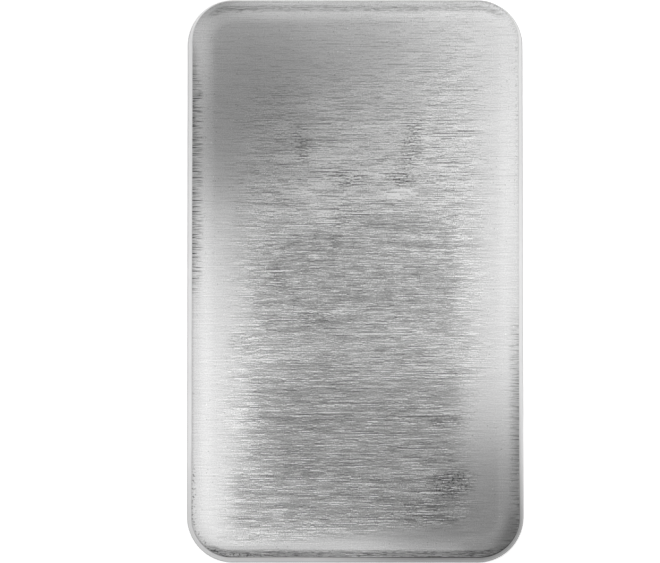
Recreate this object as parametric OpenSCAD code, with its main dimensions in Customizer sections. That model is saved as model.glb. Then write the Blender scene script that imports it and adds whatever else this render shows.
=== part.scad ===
// Silver bar, cast in a drafted mould and lying with its brushed face up.
// Millimetres. Width along X, length along Y. The origin is the middle of the resting face.

/* [Overall size] */
// Width at the widest line of the walls, along X
bar_width = 51; // [40:0.5:80]
// Length at the widest line of the walls, along Y
bar_length = 85.5; // [60:0.5:130]
// Thickness from the resting face to the brushed face
bar_height = 7.05; // [5:0.05:14]

/* [Outline] */
// Radius of the four corners, seen from above at the widest line
corner_r = 7; // [5.5:0.1:12]

/* [Walls] */
// How far the brushed face's edge stands in from the widest line, which gives the draft
wall_lean = 0.85; // [0.5:0.05:1.4]
// Radius between a wall and the resting face
foot_r = 0.6; // [0.3:0.05:1.2]

/* [Brushed face] */
// Width of the soft shoulder, from the face's edge in to where the face is flat
shoulder_w = 3.3; // [1.5:0.1:4]
// Radius with which the shoulder rolls off
shoulder_r = 14.5; // [10:0.5:50]
// Radius that the brush leaves on the face's edge
face_edge_r = 0.2; // [0.1:0.05:0.3]

/* [Hidden] */
silver = [0.76, 0.76, 0.75];
// Facets of the small edge circles
$fn = 96;
// Facets of the shoulder circle, of which only a short arc is used
shoulder_fn = 1440;
// A small edge circle stands this far proud of its tangents, and so meets each at one clean edge
proud = 0.0005;

// The section is drawn in [u, z]: u runs outward from a corner's centre, and z runs up.
// Half sizes of the core, whose corners are the corners' centres
core_x = bar_width / 2 - corner_r;
core_y = bar_length / 2 - corner_r;

// The shoulder is an arc that leaves the flat face as its tangent
flat_u = corner_r - wall_lean - shoulder_w;
shoulder_c = [flat_u, bar_height - shoulder_r];
shoulder_drop = shoulder_r - sqrt(shoulder_r ^ 2 - shoulder_w ^ 2);

// Where the wall and the shoulder would meet if the face's edge were sharp
sharp_edge = [corner_r - wall_lean, bar_height - shoulder_drop];

// The wall leaves the foot circle as its tangent and runs up to the sharp edge
foot_c = [corner_r - foot_r, foot_r];
foot_to_edge = sharp_edge - foot_c;
draft = atan2(foot_to_edge.y, foot_to_edge.x) - acos(foot_r / norm(foot_to_edge));
wall_out = [cos(draft), sin(draft)];
wall_foot = foot_c + (foot_r - proud) * wall_out;
// Its line runs on as far again, so that the shoulder is what cuts it
wall_end = 2 * sharp_edge - wall_foot;

// The face's edge circle touches the wall and the shoulder's arc from within
edge_reach = wall_out * (sharp_edge - shoulder_c) - face_edge_r;
edge_turn = draft + acos(edge_reach / (shoulder_r - face_edge_r));
edge_c = shoulder_c + (shoulder_r - face_edge_r) * [cos(edge_turn), sin(edge_turn)];
edge_chord = face_edge_r * cos((edge_turn - draft) / 2);

// The resting face, the wall and its line past the shoulder
module blank() {
    polygon([[0, 0], [foot_c.x, 0], wall_foot, wall_end, [0, wall_end.y]]);
}

// What the flat face and the shoulder's arc leave of the blank
module roof() {
    square([flat_u, bar_height]);
    translate(shoulder_c) circle(r = shoulder_r, $fn = shoulder_fn);
}

// The tip that the face's edge loses, out from the chord of its edge circle
module sharp_tip() {
    translate(edge_c) rotate((draft + edge_turn) / 2)
        translate([edge_chord, -face_edge_r]) square(2 * face_edge_r);
}

// Half of the bar's section, from a corner's centre out to the wall
module section() {
    difference() {
        intersection() {
            blank();
            roof();
        }
        sharp_tip();
    }
    translate(edge_c) circle(r = face_edge_r + proud);
    translate(foot_c) circle(r = foot_r);
}

// One straight side, facing +X, with its middle at the origin
module side(length) {
    rotate([90, 0, 0]) translate([0, 0, -length / 2]) linear_extrude(length) section();
}

// One corner, filling the quarter between +X and +Y
module corner() {
    rotate_extrude(angle = 90) section();
}

module core() {
    translate([-core_x, -core_y, 0]) cube([2 * core_x, 2 * core_y, bar_height]);
}

// The bar: the section carried once round the core, and the core itself
module ingot() {
    color(silver) union() {
        core();
        for (turn = [0, 180]) rotate(turn) {
            translate([core_x, 0, 0]) side(2 * core_y);
            translate([0, core_y, 0]) rotate(90) side(2 * core_x);
            translate([core_x, core_y, 0]) corner();
            translate([-core_x, core_y, 0]) rotate(90) corner();
        }
    }
}

ingot();
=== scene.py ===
# %% [markdown]
# # A brushed silver bar
#
# A small bullion bar is poured or pressed in a mould with leaning walls, turned out, and dressed with a
# coarse belt that runs across it. Four things make it read as silver and not as grey paint:
#
# * the outline's round corners and the soft shoulder that the belt leaves round the face,
# * thousands of short cross strokes, one or two tenths of a millimetre wide,
# * the clean skin of the walls, which never saw the belt and only has faint lines from the mould,
# * a tone that wanders over the face, because bare metal shows the lamps around it.
#
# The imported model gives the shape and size. This lesson models the bar again with the relief that the
# belt and the press left in it, and then finishes the metal and lights it.

# %% Load the frame
import math

import bmesh
import bpy
from mathutils import Matrix, Vector, noise


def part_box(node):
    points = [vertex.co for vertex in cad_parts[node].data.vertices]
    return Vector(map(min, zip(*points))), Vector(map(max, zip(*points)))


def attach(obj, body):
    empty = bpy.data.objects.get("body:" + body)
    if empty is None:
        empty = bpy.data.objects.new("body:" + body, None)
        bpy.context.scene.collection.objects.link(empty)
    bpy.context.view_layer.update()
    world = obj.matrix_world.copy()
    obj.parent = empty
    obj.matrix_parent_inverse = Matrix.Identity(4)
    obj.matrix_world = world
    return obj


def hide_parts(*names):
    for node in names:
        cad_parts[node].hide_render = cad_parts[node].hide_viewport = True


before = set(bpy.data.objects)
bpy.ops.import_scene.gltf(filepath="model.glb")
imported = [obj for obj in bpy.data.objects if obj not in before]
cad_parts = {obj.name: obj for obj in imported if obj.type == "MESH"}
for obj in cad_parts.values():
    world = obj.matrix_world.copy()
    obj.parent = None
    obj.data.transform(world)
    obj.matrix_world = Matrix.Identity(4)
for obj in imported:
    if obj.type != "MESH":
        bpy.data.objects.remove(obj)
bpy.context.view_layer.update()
MM = 0.001
bar_low, bar_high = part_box("ingot")
bar_width, bar_length, bar_height = bar_high - bar_low
print("bar, mm:", round(bar_width / MM, 2), round(bar_length / MM, 2), round(bar_height / MM, 2))

# %% [markdown]
# ## The camera
#
# The bar is seen almost straight from above, from a little way off its near end, so that a thin band of
# the near wall shows and the far wall all but hides behind its edge. A long lens from 60 cm keeps the two
# long walls parallel. The camera could be set by eye in the viewport, but here it is placed from the
# bar's own size: the bar's length fills the picture's height, and the view stays right if the size is
# ever changed.

# %% Camera
PICTURE = (660, 563)
CAMERA_DISTANCE = 0.6
CAMERA_ELEVATION = math.radians(87.1)
CAMERA_AIM = Vector((-3.82, -0.18, 0.6)) * MM
LENGTH_IN_VIEW = 0.999
SENSOR_WIDTH = 36.0
NEAREST_SEEN = 0.01
FURTHEST_SEEN = 20

field_width = bar_length * LENGTH_IN_VIEW * PICTURE[0] / PICTURE[1]
towards_camera = Vector((0, -math.cos(CAMERA_ELEVATION), math.sin(CAMERA_ELEVATION)))
camera_data = bpy.data.cameras.new("camera")
camera_data.sensor_width = SENSOR_WIDTH
camera_data.lens = SENSOR_WIDTH * CAMERA_DISTANCE / field_width
camera_data.clip_start = NEAREST_SEEN
camera_data.clip_end = FURTHEST_SEEN
camera = bpy.data.objects.new("camera", camera_data)
camera.location = CAMERA_AIM + towards_camera * CAMERA_DISTANCE
camera.rotation_mode = "QUATERNION"
camera.rotation_quaternion = (-towards_camera).to_track_quat("-Z", "Y")
bpy.context.scene.collection.objects.link(camera)
bpy.context.scene.camera = camera
bpy.context.scene.view_settings.view_transform = "Standard"
print("lens, mm:", round(camera_data.lens, 1))


# %% [markdown]
# ## Shader helpers
#
# Every material below is a tree of nodes. Node trees are usually wired by hand in the Shader Editor;
# written out in full in Python they take hundreds of lines. Three small functions keep the recipes short:
# one adds a node and fills its sockets with values or with other nodes' outputs, one finds a node's
# output, and one is short for the Math node, which the recipes use most.

# %% Node helpers
def add(tree, kind, *values, **settings):
    """A node of that kind. values fill its inputs in order: a number, a tuple, an output, or None to skip."""
    made = tree.nodes.new("ShaderNode" + kind)
    for name, setting in settings.items():
        setattr(made, name, setting)
    open_inputs = [socket for socket in made.inputs if socket.enabled]
    for socket, value in zip(open_inputs, values):
        if isinstance(value, bpy.types.NodeSocket):
            tree.links.new(value, socket)
        elif value is not None:
            socket.default_value = value
    return made


def value_of(made):
    """The first output of a node that is switched on."""
    return next(socket for socket in made.outputs if socket.enabled)


def maths(tree, operation, *values):
    """The output of a Math node."""
    return value_of(add(tree, "Math", *values, operation=operation))


math_operations = bpy.types.ShaderNodeMath.bl_rna.properties["operation"].enum_items
print("operations of the Math node:", len(math_operations))

# %% [markdown]
# ## The floor
#
# The bar lies on a sheet of pale paper that is lit until it is all but white. Light paper matters for the
# metal too, because the steep walls, seen from above, mirror it and little else. A plane would do; a wide
# disc has no corners that could turn up in a low view. A little glow in the paper stands for the light
# that comes through it from below, and the camera sees about twice as much of it as the metal does, as on
# a light table. The disc lies a fiftieth of a millimetre under the bar, because two faces at the same
# height flicker, and it is clear from underneath, so that the bar's resting face can be looked at.

# %% Floor
FLOOR_RADIUS = 6.0
FLOOR_SIDES = 96
FLOOR_GAP = 0.02 * MM
PAPER_GREY = 0.9
PAPER_GLOW = 0.35
EXTRA_GLOW_SEEN = 0.32

floor_shape = bmesh.new()
floor_level = Matrix.Translation((0, 0, -FLOOR_GAP))
bmesh.ops.create_circle(
    floor_shape,
    cap_ends=True,
    segments=FLOOR_SIDES,
    radius=FLOOR_RADIUS,
    matrix=floor_level,
)
floor_mesh = bpy.data.meshes.new("floor")
floor_shape.to_mesh(floor_mesh)
floor_shape.free()
floor = bpy.data.objects.new("floor", floor_mesh)
bpy.context.scene.collection.objects.link(floor)

paper = bpy.data.materials.new("pale_paper")
paper.use_nodes = True
sheet = paper.node_tree.nodes["Principled BSDF"]
sheet.inputs["Base Color"].default_value = (PAPER_GREY, PAPER_GREY, PAPER_GREY, 1)
sheet.inputs["Roughness"].default_value = 0.9
sheet.inputs["Specular IOR Level"].default_value = 0.2
sheet.inputs["Emission Color"].default_value = (1, 1, 1, 1)
seen_directly = add(paper.node_tree, "LightPath").outputs["Is Camera Ray"]
paper_light = maths(paper.node_tree, "MULTIPLY_ADD", seen_directly, EXTRA_GLOW_SEEN, PAPER_GLOW)
paper.node_tree.links.new(paper_light, sheet.inputs["Emission Strength"])
underneath = add(paper.node_tree, "NewGeometry").outputs["Backfacing"]
clear = value_of(add(paper.node_tree, "BsdfTransparent"))
one_sided = value_of(add(paper.node_tree, "MixShader", underneath, sheet.outputs["BSDF"], clear))
paper.node_tree.links.new(one_sided, paper.node_tree.nodes["Material Output"].inputs["Surface"])
floor_mesh.materials.append(paper)
print("floor, m across:", 2 * FLOOR_RADIUS)

# %% [markdown]
# ## The tent
#
# Small shiny goods are lit in a tent of white cloth, since metal shows whatever surrounds it. Cloth
# panels could be modelled, but the world's background can be the tent and costs nothing: from the
# direction of a ray it works out how much of the roof and of each of the four side panels the ray meets,
# and adds up their brightness. The sides are uneven on purpose, so that the bar's walls differ from each
# other in a view from the side. The camera itself sees plain white behind the floor.

# %% Tent
TENT_ROOF = 0.15
TENT_SIDES = {"left": 0.85, "right": 1.0, "near": 0.25, "far": 0.6}
ROOF_START = 0.5
ROOF_FULL = 0.85
NEVER_ZERO = 0.0001
WHITE = (1, 1, 1, 1)

world = bpy.data.worlds.new("tent")
world.use_nodes = True
bpy.context.scene.world = world
sky = world.node_tree
sky.nodes.clear()
ray = add(sky, "SeparateXYZ", add(sky, "TexCoord").outputs["Generated"])
east, north, upward = (ray.outputs[axis] for axis in "XYZ")
roof_blend = add(sky, "MapRange", upward, ROOF_START, ROOF_FULL, 0.0, 1.0, interpolation_type="SMOOTHSTEP")
roof = value_of(roof_blend)
beside_roof = maths(sky, "SUBTRACT", 1.0, roof)
level_part = maths(sky, "MULTIPLY_ADD", east, east, maths(sky, "MULTIPLY_ADD", north, north, NEVER_ZERO))
tent_light = maths(sky, "MULTIPLY", roof, TENT_ROOF)
facings = {"left": (east, -1.0), "right": (east, 1.0), "near": (north, -1.0), "far": (north, 1.0)}
for side, (along, sign) in facings.items():
    facing = maths(sky, "MAXIMUM", maths(sky, "MULTIPLY", along, sign), 0.0)
    share = maths(sky, "DIVIDE", maths(sky, "MULTIPLY", facing, facing), level_part)
    panel = maths(sky, "MULTIPLY", share, beside_roof)
    tent_light = maths(sky, "MULTIPLY_ADD", panel, TENT_SIDES[side], tent_light)
cloth = add(sky, "Background", WHITE, tent_light)
backdrop = add(sky, "Background", WHITE, 1.0)
from_camera = add(sky, "LightPath").outputs["Is Camera Ray"]
add(sky, "OutputWorld", value_of(add(sky, "MixShader", from_camera, value_of(cloth), value_of(backdrop))))
print("tent panels:", 1 + len(TENT_SIDES))


# %% [markdown]
# ## The lamps
#
# Brushed metal is a blurred mirror. A lamp far off lights its face evenly, and the face then looks like
# paper. The wandering tone of real silver comes from large soft cards that hang close over it: where the
# face sees a card it is light, and where it looks past the cards it is dark. So the cards are laid out
# like a map of the face, 45 mm above the paper. Two long ones hang over the sides, one further down on
# the left and one further up on the right, with shorter ones beyond their ends. Outside them hang the
# wings that the rolled shoulder sees, and strips do the same at the two ends. Fainter ones over the
# middle keep the face from going dull. An area lamp looks straight down unless it is turned.

# %% Lamps
LAMP_HEIGHT = 45
CARDS = [
    ("left_card", (-27.3, -29), (20.4, 50), 1.25),
    ("left_upper", (-29, 5), (18, 18), 1.2),
    ("left_wing", (-45.5, -17), (15, 74), 0.83),
    ("far_left", (-38.5, 44), (29, 20), 0.83),
    ("right_card", (28.5, 10), (19, 40), 1.1),
    ("right_upper", (28.5, 36), (19, 12), 0.88),
    ("right_low", (27, -16), (22, 12), 1.25),
    ("right_wing", (47.5, 19.5), (19, 69), 0.98),
    ("far_strip", (-4.5, 55), (31, 18), 1.13),
    ("far_right", (30.5, 55), (39, 17), 1.45),
    ("near_strip", (-6, -47), (22, 14), 1.3),
    ("near_low", (14, -57), (34, 12), 1.0),
    ("middle", (2, -1), (40, 36), 0.48),
    ("upper_middle", (7, 21), (26, 18), 0.5),
    ("far_middle", (19, 44), (22, 26), 0.38),
    ("near_middle", (6, -25), (22, 14), 0.2),
]


def hang_card(name, place, size, radiance):
    """A soft rectangular lamp over a place, both in millimetres, so strong that its face has that radiance.

    The camera itself doesn't see it.
    """
    lamp = bpy.data.lights.new(name, "AREA")
    lamp.shape = "RECTANGLE"
    lamp.size = size[0] * MM
    lamp.size_y = size[1] * MM
    lamp.energy = radiance * math.pi * lamp.size * lamp.size_y
    holder = bpy.data.objects.new(name, lamp)
    holder.location = Vector((*place, LAMP_HEIGHT)) * MM
    holder.visible_camera = False
    bpy.context.scene.collection.objects.link(holder)
    return lamp.energy


card_power = sum(hang_card(*card) for card in CARDS)
print("cards:", len(CARDS), " power, mW:", round(card_power / MM, 1))

# %% [markdown]
# ## The bar's section
#
# The face is flat, the belt has rolled its rim over in an arc, a wall with some draft runs down from a
# small edge radius, and a foot radius ends it. The draft let the bar drop out of its mould. A Bevel
# modifier on a box could round the edges, but not lean the walls or roll the shoulder, so the section is
# worked out as points (out, up) and the same section goes round the whole outline, at every point square
# to it. out is counted from the centre of a corner's arc.

# %% Section
CORNER_R = 7.0 * MM
WALL_LEAN = 0.85 * MM
FOOT_R = 0.6 * MM
SHOULDER_W = 3.3 * MM
SHOULDER_R = 14.5 * MM
EDGE_R = 0.2 * MM
EDGE_STEPS = 3
WALL_STEPS = 14
FOOT_STEPS = 5


def arc(centre, radius, start, stop, steps):
    """Points on an arc from one angle to another, both ends included."""
    angles = [start + (stop - start) * step / steps for step in range(steps + 1)]
    return [centre + radius * Vector((math.cos(angle), math.sin(angle))) for angle in angles]


core_x = bar_width / 2 - CORNER_R
core_y = bar_length / 2 - CORNER_R
flat_out = CORNER_R - WALL_LEAN - SHOULDER_W
shoulder_centre = Vector((flat_out, bar_height - SHOULDER_R))
shoulder_drop = SHOULDER_R - math.sqrt(SHOULDER_R**2 - SHOULDER_W**2)
sharp_edge = Vector((CORNER_R - WALL_LEAN, bar_height - shoulder_drop))
foot_centre = Vector((CORNER_R - FOOT_R, FOOT_R))
foot_to_edge = sharp_edge - foot_centre
draft = math.atan2(foot_to_edge.y, foot_to_edge.x) - math.acos(FOOT_R / foot_to_edge.length)
wall_normal = Vector((math.cos(draft), math.sin(draft)))
edge_reach = wall_normal.dot(sharp_edge - shoulder_centre) - EDGE_R
edge_turn = draft + math.acos(edge_reach / (SHOULDER_R - EDGE_R))
edge_direction = Vector((math.cos(edge_turn), math.sin(edge_turn)))
edge_centre = shoulder_centre + (SHOULDER_R - EDGE_R) * edge_direction
face_out = (edge_centre + EDGE_R * edge_direction).x
print("draft, degrees:", round(math.degrees(draft), 2), " shoulder drop, mm:", round(shoulder_drop / MM, 3))

# %% Points of the rim
edge_arc = arc(edge_centre, EDGE_R, edge_turn, draft, EDGE_STEPS)
foot_arc = arc(foot_centre, FOOT_R, draft, -math.pi / 2, FOOT_STEPS)
wall_run = [edge_arc[-1].lerp(foot_arc[0], step / WALL_STEPS) for step in range(1, WALL_STEPS)]
rim_section = edge_arc[1:] + wall_run + foot_arc
print("points from the face's edge to the foot:", len(rim_section))


# %% [markdown]
# ## Places on the face
#
# The relief and the finish both need to know how far a point lies from the face's edge, and both are
# patchy. So a few small functions come first: distances inside a rounded outline, a soft step, and a
# noise that can be stretched along the strokes.

# %% Distances and noise
SEED_STEP = 7.31


def from_core(x, y):
    """Nearest point of the core rectangle, and how far out from it (x, y) lies."""
    core = Vector((max(-core_x, min(core_x, x)), max(-core_y, min(core_y, y))))
    return core, (Vector((x, y)) - core).length


def depth_in(x, y):
    """How far inside the face's edge a point of the face lies."""
    core, out = from_core(x, y)
    if out > 0:
        return face_out - out
    return face_out + min(core_x - abs(x), core_y - abs(y))


def soft_step(start, stop, value):
    """0 before start, 1 past stop, and an S-curve between. start may be the larger of the two."""
    share = max(0.0, min(1.0, (value - start) / (stop - start)))
    return share * share * (3 - 2 * share)


def cloud(x, y, cell_x, cell_y, seed):
    """Smooth noise, about -1 to 1, with cells of that size in millimetres."""
    return noise.noise(Vector((x / MM / cell_x, y / MM / cell_y, seed * SEED_STEP)))


print("from the face's middle to its edge, mm:", round(depth_in(0, 0) / MM, 2))

# %% [markdown]
# ## The brushed face
#
# The face is one grid. Its rows run across the bar, as the strokes do, and lie 0.15 mm apart, so that the
# mesh can carry the strokes' coarser relief; along a stroke little changes, so the columns may be wider.
# A subdivided plane with a Boolean cut would leave slivers along the round corners. Instead a plain
# square grid is drawn into shape: its rows shorten at both ends to follow the corners, and its columns
# crowd towards the shoulder, where the surface bends.

# %% Grid
STRAIGHT_ROWS = 476
CORNER_ROWS = 32
COLUMNS = 88
COLUMN_CROWDING = 0.35

row_count = STRAIGHT_ROWS + 2 * CORNER_ROWS
straight_share = STRAIGHT_ROWS / row_count
bar_shape = bmesh.new()
bmesh.ops.create_grid(bar_shape, x_segments=COLUMNS, y_segments=row_count, size=1.0)


def place_on_face(across, along):
    """Where a point of the plain grid, from -1 to 1 both ways, comes to lie on the face."""
    share = abs(along)
    if share <= straight_share:
        y = share / straight_share * core_y
        half_width = core_x + face_out
    else:
        angle = (share - straight_share) / (1 - straight_share) * math.pi / 2
        y = core_y + face_out * math.sin(angle)
        half_width = core_x + face_out * math.cos(angle)
    spread = across + COLUMN_CROWDING * math.sin(math.pi * across) / math.pi
    return half_width * spread, math.copysign(y, along)


def shoulder(depth):
    """How far the shoulder has dropped below the flat face at that depth inside the edge."""
    out = max(0.0, face_out - flat_out - depth)
    return SHOULDER_R - math.sqrt(SHOULDER_R**2 - out**2)


for vertex in bar_shape.verts:
    x, y = place_on_face(vertex.co.x, vertex.co.y)
    vertex.co = (x, y, bar_height - shoulder(depth_in(x, y)))
print("face:", len(bar_shape.faces), "quads")


# %% [markdown]
# ## Where the belt bit
#
# A belt never bites evenly. It leans hardest on the middle, floats ever higher towards the far end, and
# only brushes the rolled rim. Two fields in the middle were squeezed in a press before the last strokes,
# and are duller. Such wear could be painted on by hand in Texture Paint, but the picture would have to be
# kept with the scene. Small functions of the place do the same here. They are all built from two shapes:
# a rectangle with ragged edges and a soft oval. Places on the face are in millimetres from its middle: u
# to the right and v towards the far end.

# %% Shapes of wear
RAGGED_SIDES = (6, 0.3)
RAGGED_ENDS = (3, 2.5)


def in_box(x, y, centre, half, ragged, soft, seed):
    """1 inside a rectangle and 0 outside, with a soft edge that wanders from row to row.

    The two ends wander half as far as the two sides.
    """
    u = x / MM - centre[0] + ragged * cloud(x, y, *RAGGED_SIDES, seed)
    v = y / MM - centre[1] + ragged * 0.5 * cloud(x, y, *RAGGED_ENDS, seed + 1)
    side = min(half[0] - abs(u), (half[1] - abs(v)) * 0.8)
    return soft_step(-soft, soft, side)


def spot(x, y, centre, radii, turn=0.0):
    """A soft oval mark: 1 in the middle quarter of its radii, 0 outside."""
    u = x / MM - centre[0]
    v = y / MM - centre[1]
    turned_u = u * math.cos(turn) + v * math.sin(turn)
    turned_v = v * math.cos(turn) - u * math.sin(turn)
    return soft_step(1.0, 0.25, math.hypot(turned_u / radii[0], turned_v / radii[1]))


spot_profile = [spot(step * MM, 0, (0, 0), (4, 4)) for step in range(5)]
print("a spot from its middle to its rim:", [round(value, 2) for value in spot_profile])

# %% [markdown]
# The belt's bite is one field with four soft limits; each limit is given as the place where the bite
# starts and the place where it is full. Far is the slowest, since the belt lifted off little by little. A
# pressed field is a rectangle with a centre and half its width and length. The upper field is a little
# narrower at its far part, and the lower one was squeezed again at one corner.

# %% Strokes and pressed fields
BITE_LEFT = (-20.5, -13)
BITE_RIGHT = (22, 14)
BITE_NEAR = (-39.3, -37)
BITE_FAR = (44, 8)
UPPER_FIELD_FAR_PART = ((1.3, 5.0), (13.4, 3.6))
UPPER_FIELD_NEAR_PART = ((0.1, -2.4), (15.0, 6.2))
LOWER_FIELD = ((-0.1, -25.7), (15.3, 12.0))
LOWER_FIELD_CORNER = ((-13.5, -33.2), (4.5, 3.8))
BRIDGE = ((1.5, -10.8), (12.0, 5.0))


def brushing(x, y):
    """How hard the belt bit: over the middle, ever less towards the far end, and hardly along the rim."""
    u = x / MM
    v = y / MM
    stray = cloud(x, y, 8, 0.5, seed=3)
    left = soft_step(*BITE_LEFT, u + 2 * stray + 1.4 * soft_step(-8, -16, v))
    right = soft_step(*BITE_RIGHT, u + 1.5 * stray + 2.5 * soft_step(-12, -20, v))
    near = soft_step(*BITE_NEAR, v - 0.1 * u)
    far = soft_step(*BITE_FAR, v + 4 * cloud(x, y, 9, 6, seed=4) - 0.3 * u)
    return left * right * near * far


def pressing(x, y):
    """Two fields where the press squeezed the metal and left it duller, and a faint bridge between them."""
    upper_far = in_box(x, y, *UPPER_FIELD_FAR_PART, ragged=1.3, soft=2.0, seed=11)
    upper_near = in_box(x, y, *UPPER_FIELD_NEAR_PART, ragged=1.3, soft=2.0, seed=11)
    upper = 0.85 * max(upper_far, upper_near) * (1 + 0.3 * spot(x, y, (-11.5, -1), (5, 4.5)))
    lower = in_box(x, y, *LOWER_FIELD, ragged=1.0, soft=2.2, seed=12)
    lower *= 1 + 0.5 * spot(x, y, (-9, -24), (6, 13))
    corner = in_box(x, y, *LOWER_FIELD_CORNER, ragged=1.0, soft=1.6, seed=13)
    bridge = 0.5 * in_box(x, y, *BRIDGE, ragged=2.2, soft=2.6, seed=14)
    return max(upper, lower, corner, bridge)


def mottling(x, y):
    """The upper pressed field, where the press closed the strokes and left a mottle."""
    return pressing(x, y) * soft_step(-12, -6, y / MM)


print("bite, middle and far end:", round(brushing(0, 0), 2), round(brushing(0, 38 * MM), 2))
print("pressing, upper and lower field:", round(pressing(0, 0), 2), round(pressing(0, -25 * MM), 2))

# %% [markdown]
# Handling adds marks that belong to no field: smudges, where the grit dug in and left dark flecks, and
# nicks, where the metal was smeared bright. One nick and one smudge are the painted highlight and the
# painted shade of a dent. Each is an oval with a centre, two radii, a turn and a strength. A texture could
# scatter hundreds. Eighteen, listed one by one, are enough to keep the face from looking even, and cost
# nothing.

# %% Smudges and nicks
DARK_SMUDGES_AND_DENT_SHADE = [
    ((8.4, 20.0), (2.2, 6.5), -0.1, 1.3),
    ((14.6, -30.8), (4.6, 3.0), 0.2, 1.6),
    ((-8.0, 20.0), (2.2, 5.0), 0.25, 0.9),
    ((13.5, -21.5), (4.5, 2.0), 0.0, 0.8),
    ((-16.8, -9.5), (3.4, 2.2), 0.1, 0.7),
    ((11.5, -35.2), (9.0, 3.0), 0.0, 0.6),
    # painted shade: the dark side of a dent, whose painted highlight is the first bright nick
    ((6.4, 15.2), (3.2, 1.2), 0.0, 1.8),
    ((-1.2, 15.0), (3.8, 2.0), 0.1, 1.1),
    ((-0.8, 9.4), (5.0, 2.2), 0.0, 0.5),
    ((-5.6, -6.2), (4.6, 2.4), -0.1, 0.8),
    ((-2.9, 5.6), (1.8, 1.3), 0.0, 1.0),
    ((-11.6, 1.0), (1.8, 5.0), 0.0, 0.5),
]
BRIGHT_NICKS_AND_DENT_HIGHLIGHT = [
    # painted highlight: the lit side of the dent whose painted shade is the smudge at (6.4, 15.2)
    ((6.6, 12.8), (3.6, 1.2), 0.05, 3.4),
    ((-6.9, 12.8), (2.8, 1.0), -0.2, 1.3),
    ((10.8, 22.0), (1.2, 5.0), -0.12, 0.6),
    ((-1.8, -4.9), (2.8, 0.7), 0.05, 1.5),
    ((2.0, -6.0), (1.9, 1.0), -0.1, 1.2),
    ((-12.2, -33.4), (3.6, 0.9), 0.05, 1.1),
]


def marks(x, y):
    """Above 0 on bright nicks and a dent's painted highlight, below 0 on dark smudges and its painted shade.
    """
    dark = sum(strength * spot(x, y, *oval) for *oval, strength in DARK_SMUDGES_AND_DENT_SHADE)
    bright = sum(strength * spot(x, y, *oval) for *oval, strength in BRIGHT_NICKS_AND_DENT_HIGHLIGHT)
    return bright - dark


print("smudges:", len(DARK_SMUDGES_AND_DENT_SHADE), " nicks:", len(BRIGHT_NICKS_AND_DENT_HIGHLIGHT))

# %% [markdown]
# The rim tells most about how the bar was dressed. Where the belt ran off it, each stroke ends in a dark
# tick; at the two ends the strokes run along the rim and scuff it; one corner is pitted from standing on
# it. The rim also gets painted shade: dark lines along the edge, a dark corner, and two darker stretches
# of the flat just inside the shoulder, where the metal reflects less of the lamps. Each of these is a strip
# along the edge, so each is a soft step of the depth inside the edge, times a soft step along it.

# %% Rim wear and painted shade
LEFT_TICKS = 1.25
RIGHT_TICKS = 0.5
FAR_STREAKS = 0.5


def ticks(x, y):
    """Where strokes end in dark ticks on the rim: high on the left, low on the right."""
    v = y / MM
    if x < 0:
        along = LEFT_TICKS * (0.4 + 0.6 * soft_step(30, 27, v)) * soft_step(35, 31, v) * soft_step(-6, 4, v)
    else:
        along = RIGHT_TICKS * soft_step(-2, -10, v)
    off_corner = soft_step(core_y / MM + 5, core_y / MM + 2, abs(v))
    return along * soft_step(1.9, 0.2, depth_in(x, y) / MM) * off_corner


def rim_streaks(x, y):
    """Where strokes run along the rim instead of over it: hard at the near end, thinly at the far."""
    inset = depth_in(x, y) / MM
    near = soft_step(-39.5, -40.9, y / MM) * soft_step(1.15, 0.75, inset)
    far = FAR_STREAKS * soft_step(39, 40.2, y / MM) * soft_step(1.7, 1.3, inset) * soft_step(0.4, 0.8, inset)
    return near + far


# painted shade, where the rolled rim and the flat beside it reflect less of the lamps
def edge_shade(x, y):
    """Painted shade: dark lines along the edge, a dark corner, and two darker stretches just inside the
    shoulder.
    """
    u = x / MM
    v = y / MM
    inset = depth_in(x, y) / MM
    high_left = soft_step(-4, 5, v) * soft_step(37, 33, v) * soft_step(0, -10, u)
    low_right = 0.4 * soft_step(-12, -22, v) * soft_step(0, 10, u)
    edge_line = max(high_left, low_right) * soft_step(1.0, 0.1, inset)
    corner = 1.1 * soft_step(-33, -38, v) * soft_step(13, 19, u) * soft_step(2.8, 1.0, inset)
    flat_left = 0.3 * soft_step(9, 15, v) * soft_step(-3, -12, u)
    flat_right = 0.35 * soft_step(-22, -29, v) * soft_step(9, 15, u)
    return max(corner, edge_line, max(flat_left, flat_right) * soft_step(2.9, 3.6, inset))


def edge_pits(x, y):
    """Where the very edge is pitted: round the near left corner, and a little up the right side."""
    near_left = soft_step(-27, -30, y / MM) * soft_step(-10, -18, x / MM)
    right = 0.2 * soft_step(5, 15, y / MM) * soft_step(10, 15, x / MM)
    return max(near_left, right) * soft_step(0.45, 0.25, abs(depth_in(x, y) / MM - 0.2))


left_edge = -(core_x + face_out)
tick_reach = [ticks(left_edge + step / 2 * MM, 20 * MM) for step in range(5)]
print("ticks on the left, every half millimetre in:", [round(value, 2) for value in tick_reach])

# %% [markdown]
# ## Store the wear and the painted shade, and press the relief
#
# Blender can keep a number with every point of a mesh, as a named attribute, and a material can read it
# back. So the wear and the painted shade along the rim are worked out once, at the 48,000 points of the
# face, and both the shape and the colour follow it. The relief is real geometry: a slow swell of a
# hundredth of a millimetre or two, and grooves along the strokes, deeper where the belt bit. It only ever
# goes down from the face of the packed model, so the bar doesn't grow, and it dies away at the edge,
# which stays crisp. Depths and cells are in millimetres.

# %% Attributes and relief
SWELL_DEPTH = 0.012
SWELL_CELL = (9, 7)
COARSE_GROOVE = 0.005
COARSE_CELL = (12, 0.34)
FINE_GROOVE = 0.0015
FINE_CELL = (5, 0.3)
UNBITTEN = 0.2

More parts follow.
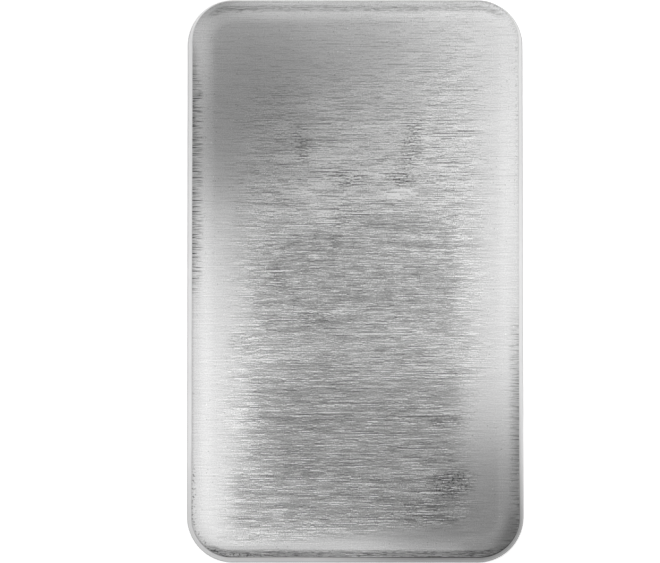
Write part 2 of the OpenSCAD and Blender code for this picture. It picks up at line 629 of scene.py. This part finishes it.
WEAR_AND_SHADE = {
    "brushing": brushing,
    "pressing": pressing,
    "mottle": mottling,
    "marks": marks,
    "ticks": ticks,
    "streaks": rim_streaks,
    "pits": edge_pits,
    # painted shade along the rim
    "shade": edge_shade,
}
layers = {name: bar_shape.verts.layers.float.new(name) for name in WEAR_AND_SHADE}
deepest = 0.0
for vertex in bar_shape.verts:
    x, y, _ = vertex.co
    for name, wear_and_shade in WEAR_AND_SHADE.items():
        vertex[layers[name]] = wear_and_shade(x, y)
    swell = SWELL_DEPTH * (1 + cloud(x, y, *SWELL_CELL, seed=21))
    coarse = COARSE_GROOVE * (1 + cloud(x, y, *COARSE_CELL, seed=22))
    fine = FINE_GROOVE * (1 + cloud(x, y, *FINE_CELL, seed=23))
    bitten = UNBITTEN + 0.8 * vertex[layers["brushing"]] + 0.6 * vertex[layers["streaks"]]
    depth = (swell + bitten * (coarse + fine)) * soft_step(0.0, 0.5, depth_in(x, y) / MM)
    vertex.co.z -= depth * MM
    deepest = max(deepest, depth)
print("points:", len(bar_shape.verts), " deepest relief, mm:", round(deepest, 3))

# %% [markdown]
# ## Walls and underside
#
# The rest grows out of the grid's own border, so that nothing has to be joined afterwards: the border is
# extruded once for each point of the section, and each new ring is pushed out and down to its place. The
# walls get a faint ripple, inwards only, as a cast skin has. One big face closes the flat underside,
# which the bar lies on. The ripple's cells, and how far the foot and the edge stay calm, are in
# millimetres.

# %% Rim
RIPPLE = 0.02 * MM
RIPPLE_WIDTH = 4
RIPPLE_HEIGHT = 1.1
CALM_FOOT = 1.2
CALM_EDGE = 0.8


def send_ring(ring, out, up):
    """Moves a ring of the rim to its place in the section, square to the outline."""
    edge_up = sharp_edge.y / MM
    calm = soft_step(0.0, CALM_FOOT, up / MM) * soft_step(edge_up, edge_up - CALM_EDGE, up / MM)
    for vertex in ring:
        core, away = from_core(vertex.co.x, vertex.co.y)
        direction = (vertex.co.xy - core) / away
        place = Vector((vertex.co.x / RIPPLE_WIDTH, vertex.co.y / RIPPLE_WIDTH, up / RIPPLE_HEIGHT))
        ripple = 1 + noise.noise(place / MM)
        vertex.co = (*(core + direction * (out - RIPPLE * ripple * calm)), up)


border = [edge for edge in bar_shape.edges if edge.is_boundary]
for out, up in rim_section:
    grown = bmesh.ops.extrude_edge_only(bar_shape, edges=border)["geom"]
    send_ring([item for item in grown if isinstance(item, bmesh.types.BMVert)], out, up)
    for face in (item for item in grown if isinstance(item, bmesh.types.BMFace)):
        face.material_index = 1
    border = [item for item in grown if isinstance(item, bmesh.types.BMEdge) and item.is_boundary]
underside = bmesh.ops.contextual_create(bar_shape, geom=border)["faces"]
underside[0].material_index = 1
bmesh.ops.recalc_face_normals(bar_shape, faces=bar_shape.faces)
print("open or crossed edges:", sum(not edge.is_manifold for edge in bar_shape.edges))
print("volume, cm3:", round(bar_shape.calc_volume() / MM**3 / 1000, 2))

# %% [markdown]
# ## The bar's object
#
# The mesh becomes one object. It rides on the body that the imported model calls root and stands for the
# node ingot, which is hidden. Its quads are shaded smooth and the underside flat.

# %% Object
for face in bar_shape.faces:
    face.smooth = len(face.verts) == 4
triangle_count = sum(len(face.verts) - 2 for face in bar_shape.faces)
bar_mesh = bpy.data.meshes.new("silver_bar")
bar_shape.to_mesh(bar_mesh)
bar_shape.free()
bar = bpy.data.objects.new("silver_bar", bar_mesh)
bpy.context.scene.collection.objects.link(bar)
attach(bar, "root")
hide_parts("ingot")
print("triangles:", triangle_count)


# %% [markdown]
# ## Signals
#
# A finish is a sum of many faint signals, each with its own strength. Blender has a node for each step,
# and these helpers read like the recipe: a new metal, the piece's own coordinates in millimetres, a
# signal from an attribute, a weighted sum, a product, a smooth ramp, the part of a signal that stands
# above a threshold, and the coat of grey at the end.

# %% Signal helpers
def metal_material(name):
    """A new bare metal, its node tree and its shader."""
    material = bpy.data.materials.new(name)
    material.use_nodes = True
    shader = material.node_tree.nodes["Principled BSDF"]
    shader.inputs["Metallic"].default_value = 1.0
    return material, material.node_tree, shader


def in_millimetres(tree):
    """Where on the piece a point lies."""
    coordinates = add(tree, "TexCoord").outputs["Object"]
    return value_of(add(tree, "VectorMath", coordinates, (1 / MM, 1 / MM, 1 / MM), operation="MULTIPLY"))


def attribute(tree, name):
    """A number that was stored with the mesh."""
    return add(tree, "Attribute", attribute_name=name).outputs["Fac"]


def mixed(tree, *parts):
    """The sum of (strength, signal) pairs."""
    total = 0.0
    for strength, signal in parts:
        total = maths(tree, "MULTIPLY_ADD", signal, strength, total)
    return total


def product(tree, first, *others):
    """Signals, or a signal and numbers, multiplied."""
    for other in others:
        first = maths(tree, "MULTIPLY", first, other)
    return first


def ramp(tree, signal, start, stop, shape="SMOOTHSTEP"):
    """0 before start, 1 past stop, and a slope between."""
    return value_of(add(tree, "MapRange", signal, start, stop, 0.0, 1.0, interpolation_type=shape))


def above(tree, signal, threshold):
    """How far a signal stands above a threshold, and 0 below it."""
    return maths(tree, "MAXIMUM", maths(tree, "SUBTRACT", signal, threshold), 0.0)


def paint(tree, tone, shader):
    """Gives a shader that grey tone."""
    tree.links.new(value_of(add(tree, "CombineColor", tone, tone, tone)), shader.inputs["Base Color"])


ramp_shapes = bpy.types.ShaderNodeMapRange.bl_rna.properties["interpolation_type"].enum_items
print("shapes of a ramp:", [shape.identifier for shape in ramp_shapes])

# %% [markdown]
# ## Patterns
#
# Three patterns make nearly all the fine detail. Streaks are smooth noise with cells of any width and
# height. Specks are single square cells, chosen at random. Dashes are what sets brushed metal apart. A
# stretched noise is the usual way to draw brush marks, and it looks soft, like hair. A grit scratch
# begins and ends sharply, and its two sides catch the light differently, so each dash is one cell of a
# row, lighter in one half and darker in the other. The sizes of the dashes are their length and the pitch
# of their rows, in millimetres.

# %% Pattern helpers
SEED_SLANT = 3.7
ROW_SPREAD = 97.0
LONG_DASH = (4.2, 0.28)
THIN_DASH = (1.6, 0.14)
SHORT_DASH = (0.6, 0.27)


def centred_noise(tree, point, scale, detail, roughness, dimensions="3D"):
    """Smooth noise, centred on 0."""
    made = add(tree, "TexNoise", point, scale, detail, roughness, noise_dimensions=dimensions)
    return maths(tree, "SUBTRACT", value_of(made), 0.5)


def streaks(tree, point, cell_x, cell_y, seed, detail=0.0, roughness=0.5):
    """Smooth noise centred on 0, in cells of that many millimetres."""
    place = (seed, seed * SEED_SLANT, 0)
    scale = (1 / cell_x, 1 / cell_y, 1)
    mapped = value_of(add(tree, "Mapping", point, place, None, scale))
    return centred_noise(tree, mapped, 1.0, detail, roughness, dimensions="2D")


def specks(tree, point, size, share, seed):
    """1 in that share of square cells of that size, and 0 in the others."""
    scale = (1 / size, 1 / size, 0)
    offset = (seed, seed, seed)
    scaled = value_of(add(tree, "VectorMath", point, scale, offset, operation="MULTIPLY_ADD"))
    cell = value_of(add(tree, "VectorMath", scaled, operation="FLOOR"))
    chance = add(tree, "TexWhiteNoise", cell, noise_dimensions="3D").outputs["Value"]
    return maths(tree, "GREATER_THAN", chance, 1 - share)


def dashes(tree, point, length, pitch, seed, paired=False):
    """Rows of dashes of even length, shifted row by row: from -1 to 1, most faint and a few strong.

    A paired dash is a scratch with a lit and a shaded side: it changes sign halfway across its row.
    """
    place = add(tree, "SeparateXYZ", point)
    across = maths(tree, "MULTIPLY_ADD", place.outputs["Y"], 1 / pitch, seed)
    row = maths(tree, "FLOOR", across)
    row_start = add(tree, "TexWhiteNoise", row, noise_dimensions="1D").outputs["Value"]
    shift = maths(tree, "MULTIPLY_ADD", row_start, ROW_SPREAD, seed)
    column = maths(tree, "FLOOR", maths(tree, "MULTIPLY_ADD", place.outputs["X"], 1 / length, shift))
    cell = value_of(add(tree, "CombineXYZ", column, row, seed))
    chance = add(tree, "TexWhiteNoise", cell, noise_dimensions="3D").outputs["Value"]
    centred = maths(tree, "MULTIPLY_ADD", chance, 2.0, -1.0)
    dash = product(tree, centred, maths(tree, "ABSOLUTE", centred))
    if paired:
        half = maths(tree, "SIGN", maths(tree, "SUBTRACT", maths(tree, "SUBTRACT", across, row), 0.5))
        dash = product(tree, dash, half)
    return dash


print("rows of thin dashes on the bar:", round(bar_length / MM / THIN_DASH[1]))

# %% [markdown]
# ## Brushed silver
#
# The strokes come first. Three sizes of dash lie over each other, with a grain as fine as the grit. They
# are strong where the belt bit or the grit dug in. The upper pressed field has a mottle instead, since
# the press closed its strokes. Belts aren't guided exactly, so all of it follows a slight bend.

# %% Strokes
BEND_DEPTH = 0.06
BEND_CELL = (14, 7)

silver, tree, metal = metal_material("brushed_silver")
point = in_millimetres(tree)
bend = maths(tree, "MULTIPLY", streaks(tree, point, *BEND_CELL, seed=2), BEND_DEPTH)
lift = value_of(add(tree, "CombineXYZ", 0.0, bend, 0.0))
point = value_of(add(tree, "VectorMath", point, lift, operation="ADD"))

bite = attribute(tree, "brushing")
dull = attribute(tree, "pressing")
worn = attribute(tree, "mottle")
marked = attribute(tree, "marks")
# the dark marks, among them the dent's painted shade
scuffs_and_dent_shade = maths(tree, "MAXIMUM", product(tree, marked, -1.0), 0.0)
along_rim = attribute(tree, "streaks")

# the paired dashes paint a highlight on one side of each scratch and shade on the other
long_dashes = dashes(tree, point, *LONG_DASH, seed=3, paired=True)
thin_dashes = dashes(tree, point, *THIN_DASH, seed=8)
short_dashes = dashes(tree, point, *SHORT_DASH, seed=5, paired=True)
scratches = mixed(tree, (0.6, long_dashes), (0.55, thin_dashes), (0.55, short_dashes))
grain = streaks(tree, point, 0.17, 0.15, seed=13)
smear = streaks(tree, point, 14, 1.0, seed=15, detail=2, roughness=0.6)
mottle = streaks(tree, point, 1.4, 1.0, seed=19, detail=3, roughness=0.75)

strength = mixed(tree, (0.55, bite), (0.35, scuffs_and_dent_shade), (0.35, along_rim), (-0.08, worn), (1.0, 0.1))
strokes = mixed(
    tree,
    (1.0, product(tree, scratches, strength)),
    (0.3, grain),
    (0.6, product(tree, grain, bite)),
    (0.7, product(tree, smear, bite)),
    (0.8, product(tree, mottle, worn)),
    (0.12, product(tree, mottle, bite)),
)
print("nodes for the strokes:", len(tree.nodes))

# %% [markdown]
# Now the wear. Towards the far end the strokes are few and mostly dark, on lighter metal. Flecks gather
# in loose patches where the metal was worked hardest, the smudges and pits are made of dots, and the
# ticks on the rim are streaks that a threshold cuts: the stronger a streak, the further it reaches in
# from the edge. The rim's painted shade joins the rim's wear. Single grains of dust or grit end the list.

# %% Wear and painted shade
SPECK_SIZE = 0.16
LIGHTER_FROM = 7.0
LIGHTER_FULLY = 15.0

along_bar = add(tree, "SeparateXYZ", point).outputs["Y"]
far_part = ramp(tree, along_bar, LIGHTER_FROM, LIGHTER_FULLY, "LINEAR")
far_strength = product(tree, far_part, strength)
far_scratches = product(tree, far_strength, maths(tree, "ABSOLUTE", scratches))
patches = above(tree, streaks(tree, point, 2.6, 1.8, seed=51, detail=1), 0.02)
flecks = above(tree, streaks(tree, point, 0.45, 0.22, seed=53, detail=1), 0.05)
flecked = mixed(tree, (0.5, bite), (0.5, worn))
dots = above(tree, streaks(tree, point, 0.4, 0.3, seed=31, detail=1), 0.05)
short_breaks = streaks(tree, point, 1.2, 0.16, seed=27, detail=2)
long_breaks = streaks(tree, point, 5, 0.2, seed=29, detail=1)
broken = above(tree, mixed(tree, (0.9, short_breaks), (0.5, long_breaks)), 0.0)
tick_noise = streaks(tree, point, 3.0, 0.19, seed=17, detail=1)
tick_lines = above(tree, product(tree, attribute(tree, "ticks"), tick_noise), 0.005)

wear_with_dent_shading = mixed(
    tree,
    (-0.27, dull),
    (0.15, marked),
    (-3.0, product(tree, scuffs_and_dent_shade, dots)),
    (-10.0, product(tree, flecked, patches, flecks)),
    (-0.6, far_scratches),
    (0.2, far_strength),
)
rim_wear_and_shade = mixed(
    tree,
    (-9.0, tick_lines),
    (-4.0, product(tree, along_rim, broken)),
    (-0.42, along_rim),
    (-6.0, product(tree, attribute(tree, "pits"), dots)),
    # painted shade: the rim's dark edge lines and corner, and the darker flats inside the shoulder
    (-0.3, attribute(tree, "shade")),
)
bright_specks = specks(tree, point, SPECK_SIZE, 0.0012, seed=41)
dark_specks = specks(tree, point, SPECK_SIZE, 0.003, seed=43)
dust = mixed(tree, (0.2, bright_specks), (-0.35, dark_specks))
print("nodes with the wear:", len(tree.nodes))

# %% [markdown]
# All signals are added, and the sum is the power of e that the silver's grey is multiplied by. A plain
# sum could turn negative where several dark signals meet; a power never does, and it treats lighter and
# darker alike. The strokes also vary the roughness and the bump. Brushed metal smears reflections across
# its strokes, not along them, and the shader's anisotropy does that. Its tangent lies across the strokes.

# %% Silver
SILVER_GREY = 0.68
SILVER_ROUGHNESS = 0.37
STROKE_BUMP = 0.02 * MM
BLUR_ACROSS = 0.5

lightness = mixed(tree, (1.0, strokes), (1.0, wear_with_dent_shading), (1.0, rim_wear_and_shade), (1.0, dust))
paint(tree, maths(tree, "MULTIPLY", maths(tree, "EXPONENT", lightness), SILVER_GREY), metal)
tree.links.new(mixed(tree, (0.06, dull), (0.1, strokes), (1.0, SILVER_ROUGHNESS)), metal.inputs["Roughness"])
bump = add(tree, "Bump", 0.3, STROKE_BUMP, None, strokes)
tree.links.new(value_of(bump), metal.inputs["Normal"])
across_strokes = add(tree, "CombineXYZ", 0.0, 1.0, 0.0)
tree.links.new(value_of(across_strokes), metal.inputs["Tangent"])
metal.inputs["Anisotropic"].default_value = BLUR_ACROSS
bar_mesh.materials.append(silver)
print("nodes in the silver:", len(tree.nodes))

# %% [markdown]
# ## The cast skin
#
# The walls and the underside keep the skin of the mould: smooth, a little cloudy, with faint level lines
# where the metal crept up the wall as it filled, and tiny pits. The lines come from a noise that is
# squeezed in height. The skin's grey also carries painted shade: it is darker low down, where the paper
# beside the foot lies in shadow, and towards the near end and high on the near right, which reflect
# little light; the foot is left lighter towards the near end and on the near right. The right side of
# the far half is a touch darker.

# %% Skin patterns
LEVEL_LINES = (0.12, 0.12, 5.0)

skin, tree, metal = metal_material("cast_silver")
point = in_millimetres(tree)
place = add(tree, "SeparateXYZ", point)
pits = centred_noise(tree, point, 2.2, detail=3.0, roughness=0.5)
clouds = centred_noise(tree, point, 0.3, detail=2.0, roughness=0.5)
levelled = value_of(add(tree, "Mapping", point, (0, 0, 0), None, LEVEL_LINES))
mould_lines = centred_noise(tree, levelled, 1.0, detail=2.0, roughness=0.6)

low_down = ramp(tree, place.outputs["Z"], 3.0, 0.8)
high_up = ramp(tree, place.outputs["Z"], 1.5, 6.0)
near_end = ramp(tree, place.outputs["Y"], -22.0, -42.0)
near_half = ramp(tree, place.outputs["Y"], -10.0, -30.0)
rightward = ramp(tree, place.outputs["X"], -7.0, 11.0)
far_half = ramp(tree, place.outputs["Y"], 0.0, 18.0)
low_right = product(tree, rightward, near_half)
# painted light and shade: the foot is painted darker, where the paper beside it lies in shadow, and left
# lighter towards the near end and on the near right
lit_foot = maths(tree, "MAXIMUM", low_right, maths(tree, "MULTIPLY", near_end, 0.8))
foot_shade = product(tree, low_down, maths(tree, "SUBTRACT", 1.0, lit_foot))
print("nodes for the skin's patterns:", len(tree.nodes))

# %% Skin
SKIN_GREY = 0.78
SKIN_ROUGHNESS = 0.36
SKIN_BUMP = 0.03 * MM

# painted shade in the grey: the shaded foot, the near end and the upper wall on the near right; the right of
# the far half is a touch darker; clouds, pits and mould lines are the skin's own
skin_tone_and_shade = mixed(
    tree,
    (1.0, SKIN_GREY),
    (0.1, clouds),
    (0.14, pits),
    (0.18, mould_lines),
    (-0.24, foot_shade),
    (-0.24, near_end),
    (-0.2, product(tree, rightward, near_end)),
    (-0.2, product(tree, low_right, high_up)),
    (-0.08, product(tree, rightward, far_half)),
)
paint(tree, skin_tone_and_shade, metal)
tree.links.new(mixed(tree, (0.2, pits), (0.2, mould_lines), (1.0, SKIN_ROUGHNESS)), metal.inputs["Roughness"])
bump = add(tree, "Bump", 0.35, SKIN_BUMP, None, mixed(tree, (0.6, pits), (0.4, mould_lines)))
tree.links.new(value_of(bump), metal.inputs["Normal"])
bar_mesh.materials.append(skin)
print("nodes in the skin:", len(tree.nodes))
